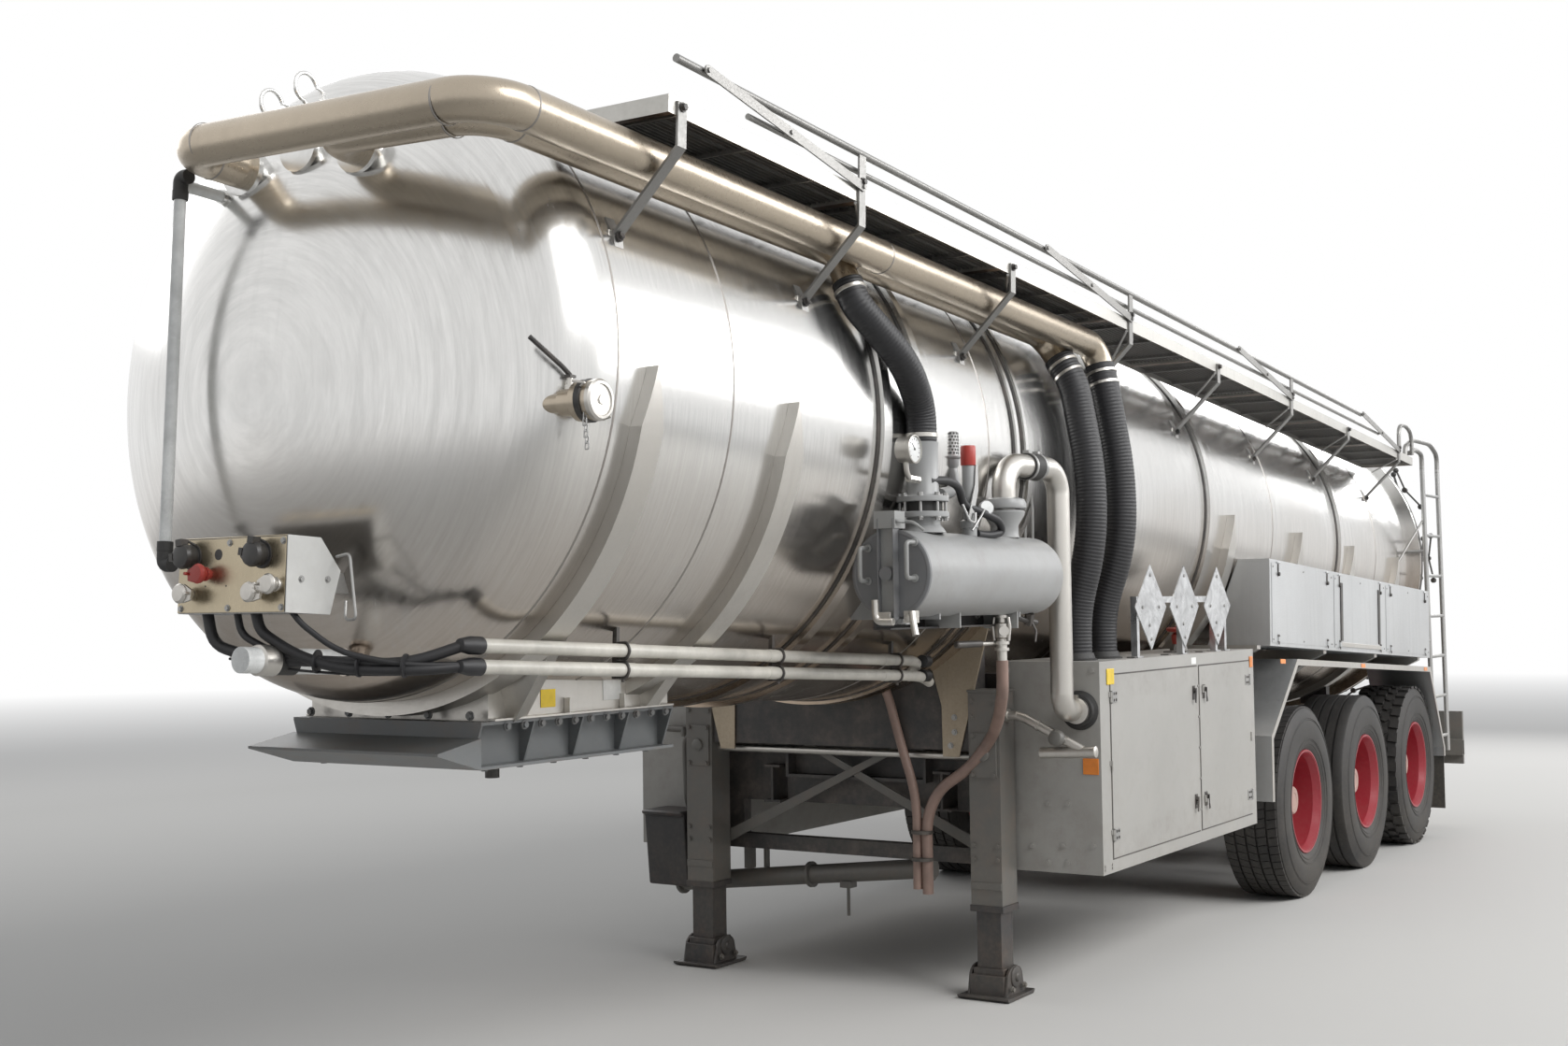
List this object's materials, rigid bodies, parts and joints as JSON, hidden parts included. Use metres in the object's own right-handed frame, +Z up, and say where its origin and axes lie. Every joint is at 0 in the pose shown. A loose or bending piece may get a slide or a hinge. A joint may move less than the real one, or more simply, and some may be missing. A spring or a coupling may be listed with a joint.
{
  "type": "tanker semi-trailer",
  "caption": "Semi-trailer with a stainless vacuum tank that leans nose-up, side walkway, toolboxes, cabinets, opening rear door, landing legs and axles on air springs.",
  "frame": {"origin": "on the ground, at the middle of the trailer's length and width", "axes": "+X forward to the coupler, +Y to the trailer's left, +Z up"},
  "size_m": [11.28, 2.5, 3.5008],
  "materials": {
    "stainless": "bright brushed stainless sheet with weld seams",
    "galvanised": "dull galvanised tube",
    "sheet_aluminium": "mill finish sheet with light stains",
    "grey_paint": "satin grey coat",
    "black_paint": "satin black coat, dusty",
    "black_steel": "greased dark steel",
    "dark_steel": "worn dark coat",
    "box_paint": "satin pale grey coat",
    "wheel_red": "satin deep red coat, dusty",
    "tyre": "matt, dusty",
    "rubber": "matt black rubber",
    "hose_rubber": "black wrapped rubber hose",
    "pale_plastic": "pale smooth pipe"
  },
  "bodies": {
    "body": {"air_springs": "rubber", "bolster": "stainless", "cabinets": "grey_paint", "chassis_frame": "black_paint", "connector_box": "box_paint", "coupler_plate": "black_paint", "frame_rails": "black_paint", "king_pin": "black_steel", "ladder": "stainless", "landing_legs": "dark_steel", "leg_crank": "black_steel", "mudflaps": "rubber", "mudguards": "sheet_aluminium", "placards": "sheet_aluminium", "rear_bumper": "galvanised", "running_gear": "black_paint", "saddle_ribs": "stainless", "separator_fittings": "stainless", "separator_tank": "grey_paint", "service_lines": "pale_plastic", "side_valve": "stainless", "sight_tube": "stainless", "suction_hoses": "hose_rubber", "suction_pipes": "stainless", "tank_shell": "stainless", "toolboxes": "sheet_aluminium", "walkway_brackets": "stainless", "walkway_deck": "sheet_aluminium"},
    "wheel_left_front": {"rim_left_front": "wheel_red", "tyre_left_front": "tyre"},
    "wheel_right_front": {"rim_right_front": "wheel_red", "tyre_right_front": "tyre"},
    "wheel_left_middle": {"rim_left_middle": "wheel_red", "tyre_left_middle": "tyre"},
    "wheel_right_middle": {"rim_right_middle": "wheel_red", "tyre_right_middle": "tyre"},
    "wheel_left_rear": {"rim_left_rear": "wheel_red", "tyre_left_rear": "tyre"},
    "wheel_right_rear": {"rim_right_rear": "wheel_red", "tyre_right_rear": "tyre"},
    "rear_door": {"rear_door": "stainless", "door_clamps": "black_steel"},
    "flap_left_front": {"flap_left_front": "sheet_aluminium"},
    "flap_right_front": {"flap_right_front": "sheet_aluminium"},
    "flap_left_middle": {"flap_left_middle": "sheet_aluminium"},
    "flap_right_middle": {"flap_right_middle": "sheet_aluminium"},
    "flap_left_rear": {"flap_left_rear": "sheet_aluminium"},
    "flap_right_rear": {"flap_right_rear": "sheet_aluminium"},
    "door_left_front": {"door_left_front": "grey_paint"},
    "door_right_front": {"door_right_front": "grey_paint"},
    "door_left_rear": {"door_left_rear": "grey_paint"},
    "door_right_rear": {"door_right_rear": "grey_paint"},
    "manhole_lid": {"manhole_lid": "stainless"},
    "separator_cover": {"separator_cover": "grey_paint"},
    "handrail_strut_1": {"handrail_strut_1": "galvanised"},
    "handrail_strut_2": {"handrail_strut_2": "galvanised"},
    "handrail_strut_3": {"handrail_strut_3": "galvanised"},
    "handrail_strut_4": {"handrail_strut_4": "galvanised"},
    "handrail_upper": {"handrail_upper": "galvanised"},
    "handrail_middle": {"handrail_middle": "galvanised"}
  },
  "joints": [
    {"name": "wheel_left_front_spin", "type": "hinge", "parent": "body", "child": "wheel_left_front", "pos_m": [-1.33, 0, 0.548], "axis": [0, 1, 0], "continuous": true},
    {"name": "wheel_right_front_spin", "type": "hinge", "parent": "body", "child": "wheel_right_front", "pos_m": [-1.33, 0, 0.548], "axis": [0, 1, 0], "continuous": true},
    {"name": "wheel_left_middle_spin", "type": "hinge", "parent": "body", "child": "wheel_left_middle", "pos_m": [-2.64, 0, 0.548], "axis": [0, 1, 0], "continuous": true},
    {"name": "wheel_right_middle_spin", "type": "hinge", "parent": "body", "child": "wheel_right_middle", "pos_m": [-2.64, 0, 0.548], "axis": [0, 1, 0], "continuous": true},
    {"name": "wheel_left_rear_spin", "type": "hinge", "parent": "body", "child": "wheel_left_rear", "pos_m": [-3.95, 0, 0.548], "axis": [0, 1, 0], "continuous": true},
    {"name": "wheel_right_rear_spin", "type": "hinge", "parent": "body", "child": "wheel_right_rear", "pos_m": [-3.95, 0, 0.548], "axis": [0, 1, 0], "continuous": true},
    {"name": "rear_door_hinge", "type": "hinge", "parent": "body", "child": "rear_door", "pos_m": [-4.75743, -1.165, 1.9787], "axis": [-0.0492, 0, 0.9988], "range_deg": [0, 110]},
    {"name": "flap_left_front_hinge", "type": "hinge", "parent": "body", "child": "flap_left_front", "pos_m": [-1.21017, 1.2445, 1.89812], "axis": [0.9988, 0, 0.0492], "range_deg": [0, 100]},
    {"name": "flap_right_front_hinge", "type": "hinge", "parent": "body", "child": "flap_right_front", "pos_m": [-1.21017, -1.2445, 1.89812], "axis": [-0.9988, 0, -0.0492], "range_deg": [0, 100]},
    {"name": "flap_left_middle_hinge", "type": "hinge", "parent": "body", "child": "flap_left_middle", "pos_m": [-2.4267, 1.2445, 1.8382], "axis": [0.9988, 0, 0.0492], "range_deg": [0, 100]},
    {"name": "flap_right_middle_hinge", "type": "hinge", "parent": "body", "child": "flap_right_middle", "pos_m": [-2.4267, -1.2445, 1.8382], "axis": [-0.9988, 0, -0.0492], "range_deg": [0, 100]},
    {"name": "flap_left_rear_hinge", "type": "hinge", "parent": "body", "child": "flap_left_rear", "pos_m": [-3.64672, 1.2445, 1.7781], "axis": [0.9988, 0, 0.0492], "range_deg": [0, 100]},
    {"name": "flap_right_rear_hinge", "type": "hinge", "parent": "body", "child": "flap_right_rear", "pos_m": [-3.64672, -1.2445, 1.7781], "axis": [-0.9988, 0, -0.0492], "range_deg": [0, 100]},
    {"name": "door_left_front_hinge", "type": "hinge", "parent": "body", "child": "door_left_front", "pos_m": [1.71, 1.2445, 1], "axis": [0, 0, -1], "range_deg": [0, 110]},
    {"name": "door_right_front_hinge", "type": "hinge", "parent": "body", "child": "door_right_front", "pos_m": [1.71, -1.2445, 1], "axis": [0, 0, 1], "range_deg": [0, 110]},
    {"name": "door_left_rear_hinge", "type": "hinge", "parent": "body", "child": "door_left_rear", "pos_m": [-0.195, 1.2445, 1], "axis": [0, 0, 1], "range_deg": [0, 110]},
    {"name": "door_right_rear_hinge", "type": "hinge", "parent": "body", "child": "door_right_rear", "pos_m": [-0.195, -1.2445, 1], "axis": [0, 0, -1], "range_deg": [0, 110]},
    {"name": "manhole_lid_hinge", "type": "hinge", "parent": "body", "child": "manhole_lid", "pos_m": [2.49865, -0.302, 3.45648], "axis": [0.9988, 0, 0.0492], "range_deg": [0, 100]},
    {"name": "separator_cover_hinge", "type": "hinge", "parent": "body", "child": "separator_cover", "pos_m": [3.3763, 1.087, 1.656], "axis": [0, 1, 0], "range_deg": [0, 100]},
    {"name": "handrail_strut_1_pivot", "type": "hinge", "parent": "body", "child": "handrail_strut_1", "pos_m": [3.72948, 1.1976, 3.17415], "axis": [0, -1, 0], "range_deg": [0, 80]},
    {"name": "handrail_strut_2_pivot", "type": "hinge", "parent": "body", "child": "handrail_strut_2", "pos_m": [1.24359, 1.1976, 3.03125], "axis": [0, -1, 0], "range_deg": [0, 80]},
    {"name": "handrail_strut_3_pivot", "type": "hinge", "parent": "body", "child": "handrail_strut_3", "pos_m": [-1.24231, 1.1976, 2.88835], "axis": [0, -1, 0], "range_deg": [0, 80]},
    {"name": "handrail_strut_4_pivot", "type": "hinge", "parent": "body", "child": "handrail_strut_4", "pos_m": [-3.7282, 1.1976, 2.74545], "axis": [0, -1, 0], "range_deg": [0, 80]},
    {"name": "handrail_upper_pivot", "type": "hinge", "parent": "handrail_strut_1", "child": "handrail_upper", "pos_m": [4.6676, 1.1976, 3.35293], "axis": [0, -1, 0], "range_deg": [-80, 0]},
    {"name": "handrail_middle_pivot", "type": "hinge", "parent": "handrail_strut_1", "child": "handrail_middle", "pos_m": [4.19854, 1.1976, 3.26354], "axis": [0, -1, 0], "range_deg": [-80, 0]}
  ],
  "couplings": [
    {"joint": "handrail_strut_2_pivot", "follows": "handrail_strut_1_pivot", "ratio": 1},
    {"joint": "handrail_strut_3_pivot", "follows": "handrail_strut_1_pivot", "ratio": 1},
    {"joint": "handrail_strut_4_pivot", "follows": "handrail_strut_1_pivot", "ratio": 1},
    {"joint": "handrail_upper_pivot", "follows": "handrail_strut_1_pivot", "ratio": -1},
    {"joint": "handrail_middle_pivot", "follows": "handrail_strut_1_pivot", "ratio": -1}
  ]
}
